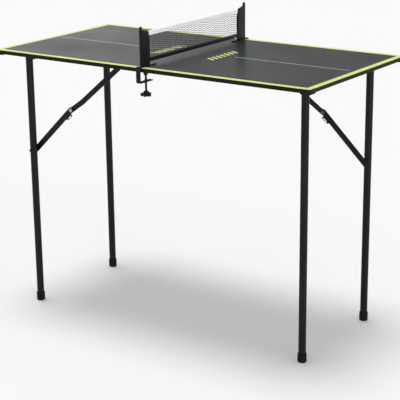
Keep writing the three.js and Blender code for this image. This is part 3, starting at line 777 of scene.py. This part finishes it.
def tape():
    """White binding, folded over the top of the net: one thin strip bent double over a cord, its lower edges sewn together."""
    top, low, t = 750.5, 740.0, 0.5
    fold = []                                    # middle line of the strip, from one lower edge over the top to the other
    leaf = [(0.62, low + 0.02), (0.60, low + 0.7), (0.50, low + 1.5), (0.47, low + 2.0), (0.55, low + 2.6), (0.78, low + 3.8), (0.95, low + 5.2), (1.10, low + 6.6), (1.27, low + 7.8), (1.33, low + 8.8)]
    fold += leaf
    for i in range(1, 9):
        a = math.pi * i / 9
        fold.append((1.33 * math.cos(a), low + 8.85 + 1.38 * math.sin(a)))
    fold += [(-x, z) for x, z in reversed(leaf)]
    n = len(fold)
    side = []
    for i in range(n):
        p, q = Vector(fold[max(0, i - 1)]), Vector(fold[min(n - 1, i + 1)])
        d = (q - p).normalized()
        side.append((d.y, -d.x))
    ring = [(x + 0.5 * t * a, z + 0.5 * t * b) for (x, z), (a, b) in zip(fold, side)]
    ring += [(x - 0.5 * t * a, z - 0.5 * t * b) for (x, z), (a, b) in reversed(list(zip(fold, side)))]
    zlow, zhigh = min(z for _, z in ring), max(z for _, z in ring)
    ring = [(max(-1.6, min(1.6, x)), low + (z - zlow) * (top - low) / (zhigh - zlow)) for x, z in ring]
    L, m = 186.7, 250
    verts, faces = [], []
    for k in range(m + 1):
        y = -L + 2 * L * k / m
        pucker = 0.05 * math.sin(2 * math.pi * y / 3.0) + 0.05 * math.sin(y * 0.11)
        for x, z in ring:
            w = math.exp(-((z - low - 2.0) / 1.6) ** 2)
            verts.append((max(-1.6, min(1.6, x + math.copysign(pucker * w, x))), y, z))
    s = len(ring)
    for k in range(m):
        for i in range(s):
            j = (i + 1) % s
            faces.append((k * s + i, k * s + j, (k + 1) * s + j, (k + 1) * s + i))
    for row, flip in ((0, True), (m, False)):
        tri = tessellate_polygon([[Vector((x, z, 0)) for x, z in ring]])
        for q in tri:
            q = tuple(row * s + i for i in q)
            faces.append(q[::-1] if flip else q)
    return verts, faces


def stitches():
    """A row of lockstitches along both faces of the tape."""
    parts = []
    for s in (-1, 1):
        y = -184.5
        while y < 184:
            path = []
            for i in range(6):
                f = i / 5
                path.append((s * (0.72 + 0.16 * math.sin(math.pi * f)), y + 2.1 * f, 742.0 + 0.06 * math.sin(y)))
            parts.append(pipe(path, 0.17, 6))
            y += 3.0
    return merge(*parts)


tape_ob = build("net_tape_folded", *tape(), TAPE, "table", "net_tape", ["net_top_tape"], sharp=60)
seam = build("net_tape_stitching", *stitches(), THREAD, "table", "net_tape", sharp=60)

bar = rounded([(-2, 679), (2, 679), (2, 688), (-2, 688)], 0.9, 5)
build("net_bottom_bar_fine", *plate(bar, -186.7, 186.7, 0.35), STEEL, "table", "frame_steel", ["net_bottom_bar"])


def threaded(z0, z1, n=28):
    """Screw with a real helical thread, pitch 1.5 mm."""
    verts, faces = [], []
    step, pitch = 0.25, 1.5
    rows = int((z1 - z0) / step)
    verts.append((0, SCREW_Y, z0))
    for k in range(rows + 1):
        z = z0 + (z1 - z0) * k / rows
        taper = min(1.0, (z1 - z) / 1.6, 0.35 + (z - z0) / 1.2)
        for i in range(n):
            a = 2 * math.pi * i / n
            f = (z / pitch - i / n) % 1.0
            tooth = abs(2 * f - 1)
            r = (2.22 + 0.56 * min(1.0, max(0.0, tooth * 1.4 - 0.2))) * (0.62 + 0.38 * taper)
            verts.append((r * math.cos(a), SCREW_Y + r * math.sin(a), z))
    verts.append((0, SCREW_Y, z1))
    for i in range(n):
        j = (i + 1) % n
        faces.append((0, 1 + j, 1 + i))
        faces.append((1 + rows * n + i, 1 + rows * n + j, len(verts) - 1))
        for k in range(rows):
            faces.append((1 + k * n + i, 1 + k * n + j, 1 + (k + 1) * n + j, 1 + (k + 1) * n + i))
    return verts, faces


def knob_shape():
    """Five-lobed knob with softened edges, a hub above and a shallow dish below."""
    def lobed(a, r, h):
        k = max(0.0, min(1.0, (r - 6.0) / 4.0))
        return r + 2.4 * math.cos(5 * a) * k * k
    low = [(0, 601.0), (4.5, 601.0), (5.6, 600.7), (6.4, 600.15), (7.4, 600.0), (8.9, 600.0), (10.0, 600.2), (10.7, 600.75), (11.1, 601.6), (11.2, 602.6)]
    high = [(11.2, 605.0), (11.1, 605.9), (10.7, 606.7), (10.0, 607.25), (9.0, 607.5), (8.0, 607.55), (7.1, 607.8), (6.6, 608.6), (6.3, 610.2), (6.0, 611.2), (5.5, 611.8), (4.9, 612.0), (3.1, 612.0), (3.1, 604.3), (0, 604.3)]
    return turned(low + high, 100, at=(0, SCREW_Y, 0), shape=lobed)


POST = [(-221, 673.1), (-187, 673.1), (-187, 731), (-190.5, 748), (-192.5, 750.5), (-213, 755.5), (-214.6, 757.5), (-215.2, 762), (-217.2, 764), (-219.6, 763.6), (-221, 761.5)]
for end, turn in (("front", False), ("back", True)):
    def put(node, shape, mat, body, slot, sharp=38.0):
        return build(node + "_fine", *shape, mat, body, slot, [node], turn, sharp)

    put(f"net_post_{end}", plate(rounded(POST, [1.2, 1.2, 4, 1.0, 1.0, 1.5, 1.5, 1.5, 1.2, 1.0, 1.0], 6), -2.5, 2.5, 0.9, plane="YZ", seg=5), STEEL, "table", "frame_steel")
    yo, zl = -231.5, 634.0
    c = [(-168, 670.3), (-168, 672.8), (yo, 672.8), (yo, zl), (-182, zl), (-182, zl + 2.5), (yo + 2.5, zl + 2.5), (yo + 2.5, 670.3)]
    ob = put(f"net_clamp_{end}", plate(rounded(c, [0.5, 0.5, 3.2, 3.2, 0.5, 0.5, 0.9, 0.9], 7), -6, 6, 0.5, plane="YZ"), STEEL, "table", "frame_steel")
    v, f = turned([(0, 630), (3.1, 630), (3.1, 640), (0, 640)], 32, at=(0, SCREW_Y, 0))
    if turn:
        v = [(-a, -b, q) for a, b, q in v]
    carve(ob, v, f)
    pad = [(0, 655.4), (1.6, 655.2), (3.1, 654.3), (3.1, 649.5), (4.1, 649.5), (4.45, 649.7), (4.7, 650.3), (4.9, 651.6), (5.4, 653.6), (6.2, 656.4), (6.75, 657.9), (6.8, 658.7), (6.7, 659.3), (6.35, 659.7), (0, 659.7)]
    put(f"clamp_pad_{end}", turned(pad, 56, at=(0, SCREW_Y, 0)), KNOB, f"{end}_clamp_pad", "knob_plastic", 42)
    put(f"clamp_screw_{end}", threaded(604.6, 654.2), STEEL, f"{end}_clamp_screw", "frame_steel", 50)
    put(f"clamp_knob_{end}", knob_shape(), KNOB, f"{end}_clamp_screw", "knob_plastic", 36)

# ---- studio -----------------------------------------------------------------
me = bpy.data.meshes.new("studio_floor")
n, size = 12, 30.0
grid = [(-size + 2 * size * i / n, -size + 2 * size * j / n, -0.0004) for j in range(n + 1) for i in range(n + 1)]
me.from_pydata(grid, [], [(j * (n + 1) + i, j * (n + 1) + i + 1, (j + 1) * (n + 1) + i + 1, (j + 1) * (n + 1) + i) for j in range(n) for i in range(n)])
floor = bpy.data.objects.new("studio_floor", me)
me.materials.append(floor_paint())
SCENE.collection.objects.link(floor)

WALL, CEILING, DIM, BRIGHT, KEY, FILL = 1.0, 0.26, 0.42, 1.36, 1.39, 1.10
world = bpy.data.worlds.new("studio")
SCENE.world = world
world.use_nodes = True
wt = world.node_tree
bg = wt.nodes["Background"]
bg.inputs["Color"].default_value = (1.0, 1.0, 1.0, 1.0)


def wnode(kind, **props):
    n = wt.nodes.new(kind)
    for k, v in props.items():
        setattr(n, k, v)
    return n


def wremap(value, a, b, lo, hi):
    n = wnode("ShaderNodeMapRange", interpolation_type="SMOOTHSTEP")
    wt.links.new(value, n.inputs["Value"])
    for k, v in (("From Min", a), ("From Max", b), ("To Min", lo), ("To Max", hi)):
        n.inputs[k].default_value = v
    return n.outputs["Result"]


def wmath(op, a, b):
    n = wnode("ShaderNodeMath", operation=op)
    for i, v in enumerate((a, b)):
        if isinstance(v, (int, float)):
            n.inputs[i].default_value = v
        else:
            wt.links.new(v, n.inputs[i])
    return n.outputs[0]


def wdot(vector):
    n = wnode("ShaderNodeVectorMath", operation="DOT_PRODUCT")
    wt.links.new(sky.outputs["Generated"], n.inputs[0])
    n.inputs[1].default_value = vector
    return n.outputs["Value"]


# a soft box: bright walls, a dimmer ceiling, and one end of the back wall brighter than the other
sky = wnode("ShaderNodeTexCoord")
height = wdot((0, 0, 1))
walls = wremap(height, 0.10, 1.0, WALL, CEILING)
across = wremap(wdot((-0.83, -0.56, 0)), -0.10, 0.12, DIM, BRIGHT)
back = wremap(wdot((-0.56, 0.83, 0)), 0.35, 0.75, 0.0, 1.0)
above = wremap(height, 0.0, 0.13, 0.0, 1.0)
tint = wmath("ADD", 1.0, wmath("MULTIPLY", wmath("MULTIPLY", back, above), wmath("SUBTRACT", across, 1.0)))
wt.links.new(wmath("MULTIPLY", walls, tint), bg.inputs["Strength"])


def sun(name, energy, angle, towards, shadow=True):
    d = bpy.data.lights.new(name, "SUN")
    d.energy, d.angle, d.use_shadow = energy, math.radians(angle), shadow
    o = bpy.data.objects.new(name, d)
    SCENE.collection.objects.link(o)
    o.rotation_euler = Vector(towards).to_track_quat("Z", "Y").to_euler()
    return o


sun("key", KEY, 24, (-0.09, 0.02, 1.0))
sun("fill", FILL, 40, (0.86, -0.42, 0.30), shadow=False)

# ---- camera: fitted to the photo's corners, feet and net, with no lens shift ---
cam = bpy.data.cameras.new("camera")
cam.sensor_width = 36.0
cam.lens = 117.268
cam.clip_end = 200
cam_ob = bpy.data.objects.new("camera", cam)
SCENE.collection.objects.link(cam_ob)
SCENE.camera = cam_ob
right, up, fwd = (0.823542, 0.567155, -0.010668), (-0.157892, 0.247249, 0.956001), (-0.544838, 0.785623, -0.293169)
m = Matrix((right, up, [-c for c in fwd])).transposed().to_4x4()
m.translation = Vector((1.79142, -2.57065, 1.25543))
cam_ob.matrix_world = m
